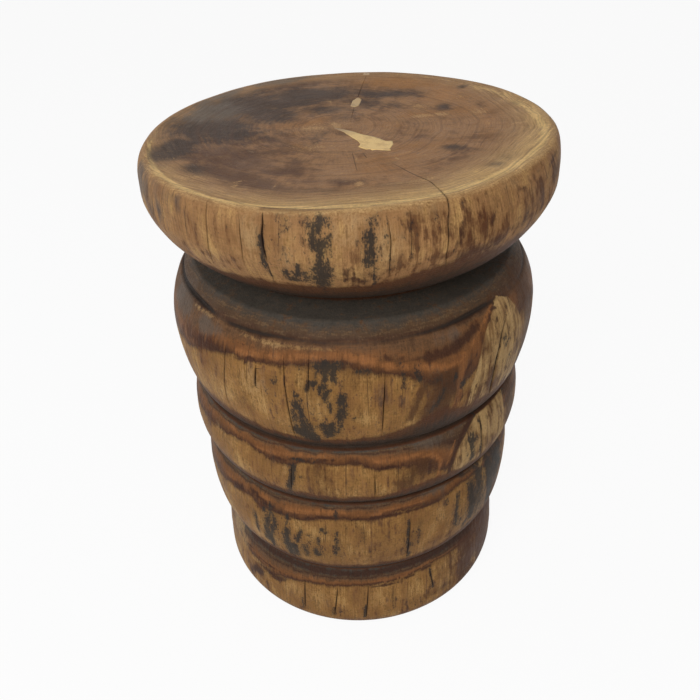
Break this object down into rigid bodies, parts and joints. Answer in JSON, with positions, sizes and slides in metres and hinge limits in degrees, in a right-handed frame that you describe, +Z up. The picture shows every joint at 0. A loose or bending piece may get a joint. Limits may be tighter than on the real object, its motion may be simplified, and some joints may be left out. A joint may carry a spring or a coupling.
{
  "type": "wooden stool",
  "caption": "Round stool cut from one log: a dished seat over stacked rounded rings, with drying checks and pale fills let into the seat.",
  "frame": {"origin": "on the floor, under the middle of the stool's width and depth", "axes": "+Z up from the floor along the log; -Y towards the front, the side with the black vertical stains; +X towards the right as seen from the front"},
  "size_m": [0.3364, 0.3424, 0.4513],
  "materials": {
    "brown_wood": "oiled hardwood, semi-matt, with dark stains in the grooves",
    "pale_fill": "pale wood-coloured fill, sanded flush, semi-matt"
  },
  "bodies": {
    "root": {"ringed_log": "brown_wood", "pith_fill": "pale_fill", "check_fill": "pale_fill", "rim_fill": "pale_fill"}
  },
  "joints": []
}
